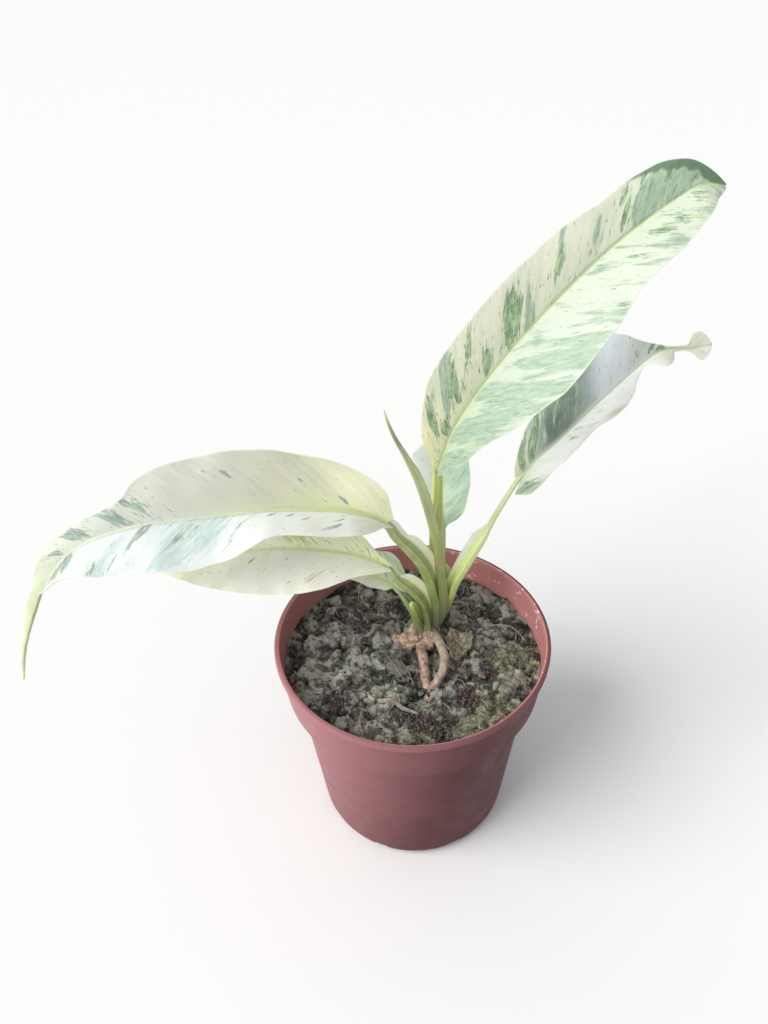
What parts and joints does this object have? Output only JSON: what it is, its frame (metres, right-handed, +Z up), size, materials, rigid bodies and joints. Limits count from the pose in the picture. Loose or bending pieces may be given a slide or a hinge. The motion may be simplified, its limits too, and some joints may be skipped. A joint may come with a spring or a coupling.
{
  "type": "potted variegated epipremnum giganteum",
  "caption": "Young variegated giant epipremnum with long marbled leaves on sheathed petioles, standing in peat in a round tapered nursery pot with a deep collar.",
  "frame": {"origin": "middle of the pot's flat foot, on the surface that the pot stands on", "axes": "+Z up along the pot's axis, -Y towards the front that the picture shows, +X to the viewer's right"},
  "size_m": [0.292, 0.12, 0.2881],
  "materials": {
    "pot_plastic": "satin rose-brown moulded plastic",
    "peat": "moist dark peat with bark and moss",
    "root_bark": "tan corky bark, knobbly",
    "loose_bark": "dry flaking bark",
    "stalk_tall": "smooth yellow-green stalk",
    "stalk_right": "smooth pale yellow-green stalk",
    "stalk_upper_left": "smooth yellow-green stalk",
    "stalk_lower_left": "smooth pale yellow-green stalk",
    "stalk_small_left": "smooth green stalk",
    "stalk_small_back": "smooth green stalk",
    "sheath_torn": "thin torn green sheath",
    "leaf_rolled": "smooth olive-green rolled leaf",
    "leaf_tall": "waxy cream and mint blade with green dashes",
    "leaf_right": "waxy pale blade with grey-green marbling",
    "leaf_upper_left": "waxy cream blade with mint blotches",
    "leaf_lower_left": "waxy yellow-cream blade with green dashes",
    "leaf_small_left": "waxy mint blade",
    "leaf_small_back": "waxy mint blade"
  },
  "bodies": {
    "root": {"pot": "pot_plastic", "soil": "peat", "rhizome": "root_bark", "bark_scrap": "loose_bark", "petiole_tall": "stalk_tall", "petiole_right": "stalk_right", "petiole_upper_left": "stalk_upper_left", "petiole_lower_left": "stalk_lower_left", "petiole_small_left": "stalk_small_left", "petiole_small_back": "stalk_small_back", "torn_sheath": "sheath_torn", "new_leaf": "leaf_rolled", "blade_tall": "leaf_tall", "blade_right": "leaf_right", "blade_upper_left": "leaf_upper_left", "blade_lower_left": "leaf_lower_left", "blade_small_left": "leaf_small_left", "blade_small_back": "leaf_small_back"}
  },
  "joints": []
}
